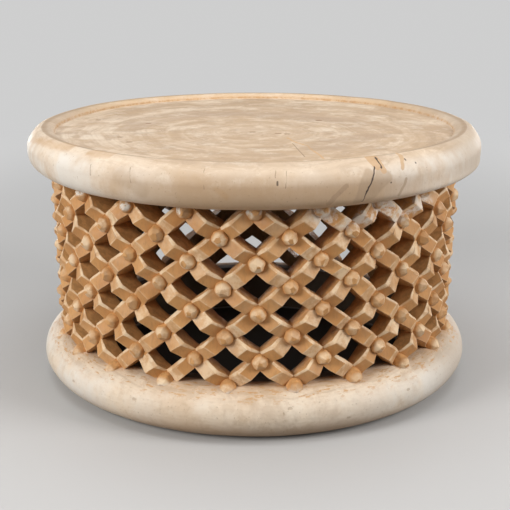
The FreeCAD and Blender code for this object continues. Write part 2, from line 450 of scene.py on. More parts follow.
def joined(parts):
    """Several solids as one set of points, faces, depths and pallor, which holds worn edges and, on
    the ribs, a painted highlight.
    """
    points, faces, depths, wear_and_highlight = zip(*parts)
    starts = np.cumsum([0, *map(len, points)]).tolist()
    faces = [[v + start for v in face] for start, part in zip(starts, faces) for face in part]
    return np.concatenate(points), faces, np.concatenate(depths), np.concatenate(wear_and_highlight)


def trim(piece, height, keep_above):
    """Piece cut level at a height in millimetres, and the cut closed."""
    work = bmesh.new()
    work.from_mesh(piece.data)
    bmesh.ops.bisect_plane(
        work, geom=[*work.verts, *work.edges, *work.faces], dist=1e-7,
        plane_co=(0, 0, height * MM), plane_no=(0, 0, 1),
        clear_inner=keep_above, clear_outer=not keep_above)
    bmesh.ops.holes_fill(work, edges=[e for e in work.edges if e.is_boundary], sides=0)
    work.to_mesh(piece.data)
    work.free()


# How far the ribs that run through go into the base ring and the top
SEAT = 1.0


def add_rib(node, parts, material, cut):
    """Piece of one or more solids, cut level just inside the base ring and the top if asked."""
    points, faces, depths, wear_and_highlight = joined(parts)
    piece = add_mesh(f"carved_{node}", wrapped(points), faces, {"depth": depths, "wear_and_highlight": wear_and_highlight})
    if cut:
        trim(piece, WALL_FOOT - SEAT, True)
        trim(piece, WALL_HEAD + SEAT, False)
    outward(piece)
    shade(piece, 40)
    dress(piece, material, "honey_wood", node)


# Studs: a rounded knob cut back by a few knife flats, and nipped off flat at the tip

STUD_TURNS = 48
STUD_LIFTS = np.radians(
    [-58, -40, -20, -4, 6, 15, 23, 30, 36, 42, 48, 54, 60, 65, 69, 72.5, 75.5, 78.5, 82, 87])
KNOB_RADIUS = 13.6
KNOB_REACH = 18.8
TIP_REACH = (16.0, 17.8)
TIP_DROOP = 0.12
# Knife cuts in two rings, each with how far they lift in degrees and reach from the heart
KNIFE_CUTS = [((2, 12), (12.0, 13.4)), ((34, 52), (13.2, 15.6))]
EDGE_SHARPNESS = 140
# How far a stud's heart stands out from the valley. The lowest row stands out more and droops.
STUD_HEART = 3.0
LOW_STUD_HEART = 8.0
LOW_STUD_DROOP = 0.2


def stud_points(draw):
    """Points of one stud about its heart, rows from its foot to its tip, in its own frame.

    Also gives the share, 0 to 1, by which each point lies on the flat nipped off the tip.
    """
    flats = int(draw.integers(5, 8))
    size = draw.uniform(0.95, 1.05)
    turn = draw.uniform(0, 2 * math.pi)
    cuts = []
    for number in range(flats):
        angle = turn + 2 * math.pi * (number + draw.uniform(-0.18, 0.18)) / flats
        for lifts, reaches in KNIFE_CUTS:
            lift = math.radians(draw.uniform(*lifts))
            cuts.append(([math.cos(angle) * math.cos(lift), math.sin(angle) * math.cos(lift),
                          math.sin(lift)], draw.uniform(*reaches)))
    lean = draw.normal(0, 0.16, 2)
    tip = np.array([lean[0], lean[1] - TIP_DROOP, 1.0])
    tip /= np.linalg.norm(tip)
    tip_reach = draw.uniform(*TIP_REACH)
    cuts.append((tip, tip_reach))
    turns = np.arange(STUD_TURNS) * 2 * math.pi / STUD_TURNS
    lifts, turns = np.meshgrid(STUD_LIFTS, turns, indexing="ij")
    rays = np.stack(
        [np.cos(lifts) * np.cos(turns), np.cos(lifts) * np.sin(turns), np.sin(lifts)], -1)
    knob = np.sqrt((rays[..., 0] ** 2 + rays[..., 1] ** 2) / KNOB_RADIUS ** 2
                   + rays[..., 2] ** 2 / KNOB_REACH ** 2) ** EDGE_SHARPNESS
    for normal, reach in cuts:
        knob += (np.maximum(rays @ np.array(normal), 0) / reach) ** EDGE_SHARPNESS
    points = rays * (size * knob ** (-1 / EDGE_SHARPNESS))[..., None]
    return points, np.clip((points @ tip / (size * tip_reach) - 0.965) / 0.02, 0, 1)


def stud_mesh(column, row, draw):
    """Points, faces, depths and wear of the stud on a crossing."""
    rows, on_tip = stud_points(draw)
    heart = crossing(column, row)
    angle = heart[0] / VALLEY_RADIUS
    out = np.array([math.sin(angle), -math.cos(angle), 0])
    level = np.array([math.cos(angle), math.sin(angle), 0])
    lean = draw.normal(0, 0.05, 2)
    if row == 0:
        lean[1] -= LOW_STUD_DROOP
    out = out + level * lean[0] + np.array([0, 0, lean[1]])
    out /= np.linalg.norm(out)
    level -= out * (level @ out)
    level /= np.linalg.norm(level)
    upright = np.cross(out, level)
    base = np.array([heart[2] * math.sin(angle), -heart[2] * math.cos(angle), heart[1]])
    base = base + out * (STUD_HEART if row else LOW_STUD_HEART)
    points = rows[..., :1] * level + rows[..., 1:2] * upright + rows[..., 2:] * out
    points = points.reshape(-1, 3) + base
    points = points + wobble(points, 9, 0.12, 6)
    faces = capped_faces(np.arange(len(points)).reshape(-1, STUD_TURNS))
    on_tip = on_tip.ravel()
    wear_and_highlight = np.clip((rows[..., 2].ravel() - 5) / 8, 0, 1) * (1 - 0.75 * on_tip)
    nipped = on_tip * draw.choice([0.03, 0.03, 0.12])
    sides = np.repeat(np.interp(STUD_LIFTS, np.radians([12, 42]), [0.12, 0]), STUD_TURNS)
    return points, faces, nipped + sides, wear_and_highlight * draw.uniform(0.35, 0.95)


def add_studs(row, material):
    """All studs of a row as one piece."""
    draw = np.random.default_rng(100 + row)
    parts = [stud_mesh(column, row, draw) for column in range(COLUMNS)]
    points, faces, depths, wear_and_highlight = joined(parts)
    piece = add_mesh(f"carved_studs_{row + 1}", points, faces, {"depth": depths, "wear_and_highlight": wear_and_highlight})
    outward(piece)
    soften(piece, 15)
    dress(piece, material, "honey_wood", f"stud_row_{row + 1}")


# Turned pieces: top and base ring

TURNS = 420
FLOOR_GAP = 0.15
CREST_HEIGHT = 449.5
# The lip goes out at the sides and in at the front, at most by these lengths
LIP_OUT = 10
LIP_IN = 7
# The rim bulges out at +X, by a share of its radius, about this height
BULGE = 0.013
BULGE_HEIGHT = 390
BULGE_WIDTH = 9
BULGE_FROM = 340


def quarter(centre, reach, rise, power, start, end, steps):
    """Points of a quarter superellipse, from one angle in degrees to another."""
    points = []
    for step in range(steps + 1):
        angle = math.radians(start + (end - start) * step / steps)
        across, up = math.cos(angle), math.sin(angle)
        points.append((centre[0] + reach * math.copysign(abs(across) ** (2 / power), across),
                       centre[1] + rise * math.copysign(abs(up) ** (2 / power), up)))
    return points


def turned_piece(name, outline, closed_ring, values=None, slips=0):
    """Outline of radius and height swept round the axis, with the unevenness of hand work.

    values are numbers at the outline's points. slips is the share by which each point goes with
    the lip.
    """
    outline = np.array(outline)
    turns = np.arange(TURNS) * 2 * math.pi / TURNS
    lip = LIP_OUT * np.sin(turns) ** 2 - LIP_IN * np.clip(np.cos(turns), 0, 1) ** 2
    radii = outline[:, :1] + np.reshape(slips, (-1, 1)) * lip
    rows = np.stack([radii * np.sin(turns), -radii * np.cos(turns),
                     np.repeat(outline[:, 1:], TURNS, 1)], -1)
    index = np.arange(len(outline) * TURNS).reshape(-1, TURNS)
    faces = grid_faces(np.vstack([index, index[:1]])) if closed_ring else capped_faces(index)
    points = rows.reshape(-1, 3)
    points = points + wobble(points, 420, 0.4, 8) + wobble(points, 110, 0.22, 9)
    bulge = np.exp(-((points[:, 2] - BULGE_HEIGHT) / BULGE_WIDTH) ** 2)
    bulge *= BULGE * np.clip(points[:, 0] / 300, 0, 1)
    outside = np.hypot(points[:, 0], points[:, 1]) > BULGE_FROM
    points[:, :2] *= np.where(outside, 1 + bulge, 1)[:, None]
    points[:, 2] = np.clip(points[:, 2], FLOOR_GAP, CREST_HEIGHT)
    values = {key: np.repeat(numbers, TURNS) for key, numbers in (values or {}).items()}
    piece = add_mesh(name, points, faces, values)
    outward(piece)
    return piece


def spaced(start, end, height, steps):
    """Level run of points between two radii, without its end."""
    return [(start + (end - start) * step / steps, height) for step in range(steps)]


def share_on_top(radii, shares):
    """Share for each point of the top's outline, by its radius, and none for those below."""
    outline_radii, heights = np.transpose(TOP_OUTLINE)
    return np.where(heights > 430, np.interp(outline_radii, radii, shares), 0)


CREST_RADIUS = 363.5
DISH_RADIUS = 351.5
DISH_FLOOR = 439.0
CORE_RADIUS = 20
RIM_BELLY = 418.4
RIM_OUTLINE = [
    *quarter((DISH_RADIUS, RIM_BELLY), 47.6, 40.8, 2.6, -90, 0, 28)[:-1],
    *quarter((CREST_RADIUS, RIM_BELLY), 35.6, 30.6, 1.92, 0, 90, 26)[:-1],
]
LIP = [(CREST_RADIUS - 12 * math.sin(angle), 439.6 + 9.9 * math.cos(angle))
       for angle in np.radians(range(0, 91, 9))]
DISH_GROOVE = [(351.2, DISH_FLOOR), (350.6, 438.5), (349.8, 438.5), (348.8, 438.8),
               (347, DISH_FLOOR)]
TOP_OUTLINE = [
    *spaced(CORE_RADIUS, DISH_RADIUS, 377.6, 14),
    *RIM_OUTLINE,
    *LIP,
    *DISH_GROOVE,
    *spaced(343, CORE_RADIUS, DISH_FLOOR, 22),
    (CORE_RADIUS, DISH_FLOOR),
]
LIP_SLIPS = share_on_top([DISH_RADIUS, CREST_RADIUS, 392], [0, 1, 0])
LIP_SLOPE = share_on_top([350.9, 351.6, 362.6, 365], [0, 1, 1, 0])
# Share on the inner edge of the lip's crest, for a dark line that is partly dirt and partly painted
# shade
LIP_CREST_SHADE = share_on_top([357.5, 360.5, 363.2, 365], [0, 1, 1, 0])

BORE_RADIUS = 305
BORE_EDGE = 2
BASE_EDGE_RADIUS = 334
BASE_BELLY = 47
BASE_SEAT = 86.6
BASE_SIDE = [
    *quarter((BASE_EDGE_RADIUS, BASE_BELLY), 51.4, 46.8, 1.92, -90, 0, 26)[:-1],
    *quarter((BASE_EDGE_RADIUS, BASE_BELLY), 51.4, 39.6, 2.1, 0, 90, 22)[:-1],
]
BASE_OUTLINE = [
    *spaced(BORE_RADIUS, BASE_EDGE_RADIUS, 0.2, 3),
    *BASE_SIDE,
    *spaced(BASE_EDGE_RADIUS, BORE_RADIUS + BORE_EDGE, BASE_SEAT, 5),
    *[(BORE_RADIUS + BORE_EDGE * (1 - math.sin(angle)),
       BASE_SEAT - BORE_EDGE * (1 - math.cos(angle))) for angle in np.radians([0, 30, 60, 90])],
    *[(BORE_RADIUS, height) for height in (70, 50, 30, 12)],
]


# Materials

def around(angle, radius, height):
    """Place in metres, from an angle in degrees and lengths in millimetres."""
    turn = math.radians(angle)
    return (radius * math.sin(turn) * MM, -radius * math.cos(turn) * MM, height * MM)


SIDE_RADIUS = 390
SIDE_DEPTH = 0.25


def on_side(outline, *marks):
    """Unrolled places on a turned piece's bulging side, each from an angle and a height."""
    radii, heights = np.transpose(outline)
    return [(math.radians(angle) * SIDE_RADIUS * MM, height * MM,
             np.interp(height, heights, radii) * SIDE_DEPTH * MM) for angle, height in marks]


def on_dish(*marks):
    """Places on the dish's floor."""
    return [(x * MM, y * MM, DISH_FLOOR * MM) for x, y in marks]


def add_node(tree, kind, inputs, **settings):
    """Node with settings, and with links or constants at its inputs."""
    made = tree.nodes.new(kind)
    for key, value in settings.items():
        setattr(made, key, value)
    for key, value in inputs.items():
        if isinstance(value, bpy.types.NodeSocket):
            tree.links.new(value, made.inputs[key])
        elif value is not None:
            made.inputs[key].default_value = value
    return made


class Finish:
    """Node material, written as short calls. A colour is linear red, green and blue.

    colour is the surface's colour so far, which tint() lays further tones on.
    """

    def __init__(self, name):
        self.colour = None
        self.material = bpy.data.materials.new(name)
        self.material.use_nodes = True
        self.tree = self.material.node_tree
        self.shader = self.tree.nodes["Principled BSDF"]
        self.place = self.tree.nodes.new("ShaderNodeTexCoord").outputs["Object"]
        split = self.node("ShaderNodeSeparateXYZ", {0: self.place})
        self.x, self.y, self.z = split.outputs
        flat = self.node("ShaderNodeCombineXYZ", {0: self.x, 1: self.y})
        self.radius = self.vectors("LENGTH", flat.outputs[0], output="Value")
        outwards = self.vectors("NORMALIZE", flat.outputs[0])
        self.turn_x, self.turn_y, _ = self.node("ShaderNodeSeparateXYZ", {0: outwards}).outputs
        turn = self.sum("ARCTAN2", self.x, self.sum("MULTIPLY", self.y, -1.0))
        self.unrolled = self.vector(self.sum("MULTIPLY", turn, SIDE_RADIUS * MM), self.z,
                                    self.sum("MULTIPLY", self.radius, SIDE_DEPTH))

    def node(self, kind, inputs, **settings):
        return add_node(self.tree, kind, inputs, **settings)

    def sum(self, operation, first, second=None, third=None):
        return self.node("ShaderNodeMath", {0: first, 1: second, 2: third},
                         operation=operation).outputs[0]

    def vectors(self, operation, first, second=None, third=None, scale=None, output="Vector"):
        inputs = {0: first, 1: second, 2: third, "Scale": scale}
        return self.node("ShaderNodeVectorMath", inputs, operation=operation).outputs[output]

    def times(self, *values):
        """Product of the values."""
        return reduce(partial(self.sum, "MULTIPLY"), values)

    def band(self, value, low, high, to_low=0.0, to_high=1.0):
        """Smooth step of a value between two limits."""
        return self.node("ShaderNodeMapRange", {
            "Value": value, "From Min": low, "From Max": high,
            "To Min": to_low, "To Max": to_high}, interpolation_type="SMOOTHSTEP").outputs[0]

    def vector(self, x, y, z):
        return self.node("ShaderNodeCombineXYZ", {0: x, 1: y, 2: z}).outputs[0]

    def noise(self, place, scale, detail=3.0, roughness=0.55, distortion=0.0):
        return self.node("ShaderNodeTexNoise", {
            "Vector": place, "Scale": scale, "Detail": detail, "Roughness": roughness,
            "Distortion": distortion}).outputs["Fac"]

    def frayed(self, place, scale, reach):
        """A place strayed by up to half the reach in metres, for ragged edges."""
        stray = self.node("ShaderNodeTexNoise", {
            "Vector": self.place, "Scale": scale, "Detail": 3.0}).outputs["Color"]
        stray = self.vectors("SUBTRACT", stray, (0.5, 0.5, 0.5))
        return self.vectors("MULTIPLY_ADD", stray, (reach, reach, 0), place)

    def near(self, place, half_width, blur, *lines):
        """Share, 1 within half a width of a line and 0 beyond the blur, lengths in millimetres.

        Each line is a list of places in metres.
        """
        nearest = None
        for line in lines:
            for start, end in zip(line, line[1:]):
                run = np.subtract(end, start)
                offset = self.vectors("SUBTRACT", place, start)
                share = self.vectors("DOT_PRODUCT", offset, tuple(run / (run @ run)),
                                     output="Value")
                share = self.sum("MAXIMUM", self.sum("MINIMUM", share, 1.0), 0.0)
                foot = self.vectors("SCALE", tuple(run), scale=share)
                gap = self.vectors("DISTANCE", offset, foot, output="Value")
                nearest = gap if nearest is None else self.sum("MINIMUM", nearest, gap)
        return self.band(nearest, half_width * MM, (half_width + blur) * MM, 1, 0)

    def mix(self, share, first, second):
        """Colour between two, the first at share 0."""
        first, second = (value if isinstance(value, bpy.types.NodeSocket) else (*value, 1)
                         for value in (first, second))
        return self.node("ShaderNodeMix", {0: share, 6: first, 7: second},
                         data_type="RGBA").outputs[2]

    def tint(self, tone, *shares):
        """A tone laid on the colour by the product of the shares."""
        self.colour = self.mix(self.times(*shares), self.colour, tone)

    def marked(self, tone, strength, place, half_width, blur, *lines, within=()):
        """A tone laid at a strength along lines, as near() finds them, within further shares."""
        self.tint(tone, self.near(place, half_width, blur, *lines), *within, strength)

    def shades(self, value, *stops):
        """Colours by value, each stop a place and a colour."""
        made = self.node("ShaderNodeValToRGB", {0: value})
        ramp = made.color_ramp
        while len(ramp.elements) < len(stops):
            ramp.elements.new(0.5)
        for element, (place, colour) in zip(ramp.elements, stops):
            element.position = place
            element.color = (*colour, 1)
        return made.outputs[0]

    def attribute(self, name):
        return self.node("ShaderNodeAttribute", {}, attribute_name=name).outputs["Fac"]

    def bumps(self, *layers):
        """Normal from several heights, each a value, a depth in metres and a strength."""
        normal = None
        for height, depth, strength in layers:
            normal = self.node("ShaderNodeBump", {
                "Height": height, "Distance": depth, "Strength": strength,
                "Normal": normal}).outputs[0]
        return normal

    def finish(self, roughness, normal, **constants):
        """The material, with the colour so far and constants named as the shader's inputs."""
        for key, value in (("Base Color", self.colour), ("Roughness", roughness),
                           ("Normal", normal)):
            self.tree.links.new(value, self.shader.inputs[key])
        for key, value in constants.items():
            self.shader.inputs[key.replace("_", " ")].default_value = value
        return self.material


def spot(place, size):
    """Line so short that it marks one place."""
    x, y, z = place
    return [(x - size * MM, y, z), (x + size * MM, y, z)]


def spots(places, size):
    """Marks of one size in millimetres."""
    return [spot(place, size) for place in places]


TAN = (0.42, 0.295, 0.19)
WORN = (0.50, 0.31, 0.16)
CREST_FILLER = (0.54, 0.34, 0.18)
FRONT_FILLER = (0.42, 0.285, 0.18)
SIDE_FILLER = (0.42, 0.30, 0.20)
EDGE_FILLER = (0.54, 0.35, 0.19)


def rim_marks(f):
    """Filler, stains, cracks and hairlines on the rim. Gives the cracks."""
    rim = partial(on_side, RIM_OUTLINE)
    soft = f.frayed(f.unrolled, 35, 0.012)
    sharp = f.frayed(f.unrolled, 160, 0.003)
    f.marked(TAN, 0.6, soft, 6, 4,
             rim((25.6, 432), (24, 413), (23.2, 393)),
             rim((28.7, 429), (26.7, 416), (24.4, 398)),
             rim((30, 425), (28, 410), (25.6, 398)))
    f.marked(TAN, 0.45, soft, 6, 12, rim((-30.8, 423.5), (-27.5, 416.7), (-24.6, 406.9)))
    f.marked(WORN, 0.45, soft, 2, 5,
             rim((-74, 436), (-68, 442), (-58, 445.4), (-50, 448)),
             rim((-43, 447), (-36, 448.5)), rim((-8, 417), (-5.8, 404)))
    f.marked(CREST_FILLER, 0.8, sharp, 4.5, 1.0,
             rim((28.4, 449.4), (27.6, 445.8), (28, 439.5)),
             rim((29.8, 449.3), (29.2, 443.2), (29.4, 433.5)))
    f.marked(FRONT_FILLER, 0.7, sharp, 3.4, 0.9,
             rim((19.9, 416.6), (18.5, 408.2), (17.3, 400.4), (16.3, 390.5)))
    f.marked(SIDE_FILLER, 0.75, sharp, 2.2, 0.9, rim((35.2, 416.4), (34.5, 404.7), (33.5, 393)))
    f.marked(EDGE_FILLER, 0.8, sharp, 2.4, 0.8, rim((37, 448.5), (35.5, 441.3), (34.6, 433)))
    f.marked((0.09, 0.06, 0.04), 0.85, sharp, 0.9, 0.8, rim((4.9, 427), (4.9, 423)),
             *spots(rim((36.8, 442.9), (39.1, 436.8), (31, 414.9)), 0.4))
    f.marked((0.26, 0.17, 0.10), 0.65, sharp, 0.35, 0.6,
             rim((7, 441), (6.6, 418)), rim((4.7, 443), (4.5, 433)),
             rim((-28.3, 437.9), (-27.4, 416.8)), rim((-11, 443.5), (-10.6, 416.2)),
             rim((-39.3, 434.3), (-38.7, 419.2)))
    cracks = f.near(f.frayed(f.unrolled, 110, 0.005), 0.7, 0.9,
                    rim((29.9, 448.4), (29.5, 447.4), (29.2, 443.2), (29.1, 437.3)),
                    rim((27.5, 438.9), (26.5, 429.2), (25.8, 417.6), (24.8, 405.5), (24.1, 389)))
    f.tint((0.05, 0.03, 0.02), cracks, 0.95)
    return cracks


def dish_marks(f):
    """Orange line, shadowed arcs, knots and a hairline split in the dish."""
    dish = f.band(f.radius, 0.3505, 0.3495)
    f.marked((0.60, 0.34, 0.13), 0.6, f.frayed(f.place, 90, 0.008), 0.9, 1.9,
             on_dish((56, -100), (66, -135), (75, -158), (87, -175), (95, -220),
                     (108, -281)), within=[dish])
    f.marked((0.42, 0.30, 0.205), 0.5, f.frayed(f.place, 22, 0.03), 8, 26,
             on_dish((130, -130), (180, -100), (214, -86)),
             on_dish((-100, 150), (-30, 146), (40, 132), (98, 100), (178, 75)),
             on_dish((100, -190), (135, -195)), on_dish((-215, 44), (-225, -20)),
             within=[dish])
    f.marked((0.25, 0.13, 0.055), 0.85, f.frayed(f.place, 160, 0.004), 2.6, 2.6,
             *spots(on_dish((-3, -44), (41, -60), (57, -64), (-193, 47), (-228, -98),
                            (-208, -147), (119, 74), (-290, 86)), 2), within=[dish])
    f.marked((0.22, 0.14, 0.08), 0.75, f.place, 0.4, 0.7,
             on_dish((63, -155), (71, -210), (79, -267)), within=[dish])


def base_marks(f):
    """Hairline and small knots on the base ring. Gives them as its cracks."""
    side = partial(on_side, BASE_SIDE)
    sharp = f.frayed(f.unrolled, 160, 0.003)
    hairs = f.near(sharp, 0.35, 0.5, side((6.9, 56.8), (7.1, 20.4)))
    knots = f.near(sharp, 1.2, 1.5, *spots(
        side((8.4, 62.1), (22.9, 35.7), (-30, 58), (-52, 50), (41, 57)), 2))
    cracks = f.sum("MAXIMUM", hairs, f.times(knots, 0.6))
    f.tint((0.30, 0.17, 0.08), cracks, 0.6)
    return cracks


def dish_tones(f, warp, stain, level):
    """Dish tanned towards the right and paler towards the left."""
    dish = f.band(f.radius, 0.352, 0.345)
    tanned = f.band(f.sum("MULTIPLY_ADD", warp, 0.25, f.x), -0.12, 0.20, 0, 0.75)
    f.tint((0.555, 0.41, 0.28), tanned, dish, level)
    paler = f.times(f.band(f.x, -0.10, -0.26, 0, 0.6), f.band(stain, 0.65, 0.4))
    f.tint((0.73, 0.61, 0.485), paler, dish, level)


def year_rings(f, reach, level, wave_share):
    """Rings and broad waves about the pith on level faces. Gives the rings."""
    rings = f.noise(f.vector(reach, 0, 0), 130, 3, 0.6)
    f.tint((0.48, 0.34, 0.215), f.band(rings, 0.42, 0.66, 0, 0.48), level)
    drift = f.noise(f.place, 11, 2)
    waves = f.noise(f.vector(f.sum("MULTIPLY_ADD", drift, 0.03, reach), f.times(drift, 0.18), 0),
                    24, 4, 0.65)
    f.tint((0.43, 0.30, 0.195), f.band(waves, 0.48, 0.60, 0, wave_share), level)
    f.tint((0.76, 0.63, 0.49), f.band(waves, 0.48, 0.34, 0, wave_share), level)
    return rings


def top_wear(f, warp, reach, level, lime, sides):
    """Top browned below, partly as painted shade, with a painted highlight on the crown, darker
    along the lip, partly as painted shade at its crest, and painted shade inside the drum.
    """
    # Browner below the belly at the front and right: partly tan wood, partly painted shade on the
    # rim's down-turned lower half
    tan_and_shade_below = f.band(f.sum("MULTIPLY_ADD", warp, 0.02, f.z), 0.444, 0.421, 0, 0.82)
    tan_and_shade_below = f.times(tan_and_shade_below, f.band(f.radius, 0.355, 0.37), f.sum("SUBTRACT", 1.15, sides),
                   f.band(f.turn_x, -0.6, -0.1, 0.15, 1.0))
    f.tint((0.51, 0.335, 0.195), tan_and_shade_below)
    dark_ring = f.times(f.band(reach, 0.195, 0.222), f.band(reach, 0.262, 0.235),
                        f.band(f.y, -0.02, 0.06), f.band(lime, 0.35, 0.6))
    f.tint((0.50, 0.37, 0.27), dark_ring, level, 0.45)
    # Painted highlight: paler on the rim's upper shoulder, less at the sides and on the left
    crown_highlight = f.times(f.band(f.radius, 0.352, 0.365), f.band(f.z, 0.430, 0.441, 0, 0.24),
                    f.sum("SUBTRACT", 1.15, sides), f.band(f.turn_x, -0.45, -0.1, 0.2, 1.0))
    f.tint((0.78, 0.67, 0.545), crown_highlight)
    slope = f.attribute("slope")
    mottle = f.band(f.noise(f.place, 28, 4, 0.65), 0.35, 0.65, 0.3, 0.85)
    lip = f.mix(f.band(f.y, 0.05, 0.28), (0.50, 0.385, 0.28), (0.60, 0.43, 0.265))
    f.tint(lip, slope, mottle)
    line = f.times(slope, f.band(f.z, 0.4445, 0.4415))
    broken = f.band(f.noise(f.place, 95, 5, 0.75), 0.42, 0.6, 0.1, 0.8)
    f.tint((0.47, 0.265, 0.115), line, broken)
    # Dark line on the crest's inner edge: partly dirt, partly painted shade of the lip's contour
    f.tint((0.34, 0.235, 0.15), f.attribute("crest"), 0.75)
    # Painted shade: near black on the top's underside inside the drum
    drum_inside_shade = f.times(f.band(f.radius, 0.305, 0.290), f.band(f.z, 0.40, 0.38))
    f.tint((0.05, 0.03, 0.018), drum_inside_shade, 0.9)


def base_wear(f, lime, sideways):
    """Base ring streaked at its seat, darker there as dust and painted shade round the ribs' feet,
    browned low down as painted shade, and painted dark inside its bore as shade.
    """
    place = f.vector(f.times(f.radius, 120), f.times(f.turn_x, 13), f.times(f.turn_y, 13))
    streaks = f.band(f.noise(place, 1.5, 4, 0.7), 0.535, 0.62)
    seat = f.times(f.band(f.radius, 0.384, 0.366), f.band(f.z, 0.050, 0.068))
    f.tint((0.56, 0.30, 0.11), streaks, seat, 0.8)
    # Darker top face round the ribs' feet: partly dust, partly painted shade under the ribs
    dust_and_shade = f.times(f.band(f.radius, 0.366, 0.350), f.band(lime, 0.4, 0.6, 0.1, 0.55))
    f.tint((0.50, 0.33, 0.19), dust_and_shade, f.band(f.z, 0.07, 0.08))
    # Painted shade: browner and darker low down near the floor, less on the lit sides
    low = f.times(f.band(f.z, 0.042, 0.014, 0, 0.7), f.band(sideways, 0.25, 0.7, 1, 0.3))
    f.tint((0.44, 0.28, 0.165), low)
    # Painted shade: near black inside the bore
    f.tint((0.06, 0.038, 0.022), f.band(f.radius, 0.335, 0.322, 0, 0.9))


TOP_TONES = [(0.32, (0.50, 0.355, 0.23)), (0.45, (0.585, 0.44, 0.305)),
             (0.56, (0.65, 0.51, 0.38)), (0.68, (0.74, 0.62, 0.49))]
BASE_TONES = [(0.3, (0.68, 0.52, 0.37)), (0.45, (0.75, 0.60, 0.45)),
              (0.58, (0.80, 0.67, 0.52)), (0.72, (0.83, 0.73, 0.60))]
PITH = (-0.003, -0.05, 0)


def bleached_wood(name, is_top):
    """Limewashed, hand-polished sapwood with rings on the level faces and grain on the sides."""
    f = Finish(name)
    soft = f.noise(f.place, 5.5, 4, 0.6)
    fine = f.noise(f.place, 60, 4, 0.65)
    f.colour = f.shades(soft, *(TOP_TONES if is_top else BASE_TONES))
    if is_top:
        fibres = f.noise(f.vectors("MULTIPLY", f.place, (1, 1, 0.05)), 160, 4, 0.6)
    else:
        fibres = f.noise(f.vector(f.times(f.radius, 1.6), f.times(f.turn_x, 0.07),
                                  f.times(f.z, 1.6)), 120, 4, 0.65)
    f.tint((0.50, 0.35, 0.22), f.band(fibres, 0.42, 0.75, 0, 0.18))

    from_pith = f.vectors("SUBTRACT", f.place, PITH)
    warp = f.noise(f.place, 6, 2)
    reach = f.vectors("LENGTH", f.vectors("MULTIPLY", from_pith, (1, 1, 0)), output="Value")
    reach = f.sum("MULTIPLY_ADD", warp, 0.05, reach)
    facing = f.node("ShaderNodeNewGeometry", {}).outputs["Normal"]
    upward = f.node("ShaderNodeSeparateXYZ", {0: facing}).outputs[2]
    level = f.band(upward, 0.55, 0.9)
    stain = f.noise(f.place, 9, 5, 0.7, 0.4)
    if is_top:
        dish_tones(f, warp, stain, level)
    rings = year_rings(f, reach, level, 0.66 if is_top else 0.35)

    f.tint((0.48, 0.335, 0.21), f.band(stain, 0.53, 0.68, 0, 0.5))
    mottled = f.noise(f.place, 26, 5, 0.7)
    f.tint((0.54, 0.38, 0.235), f.band(mottled, 0.5, 0.66, 0, 0.42))
    f.tint((0.80, 0.71, 0.59), f.band(mottled, 0.48, 0.34, 0, 0.36))
    f.tint((0.53, 0.39, 0.26), f.band(fine, 0.5, 0.68, 0, 0.3))

    sideways = f.sum("ABSOLUTE", f.turn_x)
    sides = f.band(sideways, 0.3, 0.85, 0.2, 1.0)
    lime = f.noise(f.vectors("MULTIPLY", f.place, (1, 1, 0.6)), 7.5, 5, 0.65)
    limed = f.times(f.band(f.sum("MULTIPLY_ADD", sides, 0.08, lime), 0.40, 0.62),
                    f.band(f.radius, 0.36, 0.385), sides)
    if is_top:
        limed = f.times(limed, f.band(f.sum("MULTIPLY_ADD", warp, 0.02, f.z), 0.458, 0.444))
    f.tint((0.77, 0.735, 0.68), limed, 0.85)
    # Darker towards the far right side, and a little towards the far left
    darker_far_sides = f.sum("MAXIMUM", f.band(f.turn_x, 0.70, 0.93, 0, 0.7),
                   f.band(f.turn_x, -0.8, -1.0, 0, 0.2))
    f.tint((0.48, 0.39, 0.30), darker_far_sides, f.band(f.radius, 0.35, 0.37))

    if is_top:
        top_wear(f, warp, reach, level, lime, sides)
    else:
        base_wear(f, lime, sideways)
    f.tint((0.30, 0.19, 0.11), f.band(f.noise(f.place, 240, 2, 0.7), 0.66, 0.74, 0, 0.5))
    cracks = rim_marks(f) if is_top else base_marks(f)
    if is_top:
        dish_marks(f)

    roughness = f.sum("MULTIPLY_ADD", limed, -0.08, f.band(fine, 0.3, 0.7, 0.56, 0.72))
    normal = f.bumps((fibres, 0.0006, 0.5), (fine, 0.0008, 0.6), (rings, 0.0002, 0.3),
                     (mottled, 0.0015, 0.35), (f.sum("SUBTRACT", 1.0, cracks), 0.0012, 0.8))
    return f.finish(roughness, normal, Specular_IOR_Level=0.4)


# Lime left on the ribs under the top: dabs, each an angle and a height, and one long smear
LIME_RADIUS = 359
LIME_DABS = [(-51.8, 373), (-34.1, 368), (-18.9, 369), (-1.5, 372), (3, 372), (20, 375),
             (62, 371), (95, 372), (140, 370), (-88, 372), (-130, 371), (175, 373)]
SMEAR_RADIUS = 352
SMEAR = [(17, 372), (24, 358), (31, 362), (38, 352), (45, 362), (51, 364)]


def limed_ribs(f, depth):
    """Lime on the faces of the ribs: at the top, and on their feet on the base ring."""
    near_face = f.band(depth, 0.3, 0.05)
    ragged = f.noise(f.place, 42, 4, 0.7)
    places = [around(angle, LIME_RADIUS, height) for angle, height in LIME_DABS]
    dabs = f.near(f.frayed(f.place, 70, 0.014), 5, 5, *spots(places, 2))
    broken = f.band(f.noise(f.place, 95, 4, 0.7), 0.43, 0.54, 0.05, 0.95)
    f.tint((0.78, 0.74, 0.67), dabs, near_face, broken)
    smear = f.near(f.frayed(f.place, 30, 0.03), 14, 14,
                   [around(angle, SMEAR_RADIUS, height) for angle, height in SMEAR])
    smear = f.times(smear, f.band(ragged, 0.42, 0.56), near_face)
    f.tint((0.76, 0.71, 0.64), smear, 0.75)
    feet = f.times(f.band(f.z, 0.088, 0.079), f.band(f.radius, 0.346, 0.351))
    feet = f.times(feet, f.band(ragged, 0.40, 0.55))
    f.tint((0.66, 0.61, 0.55), feet, near_face, 0.8)


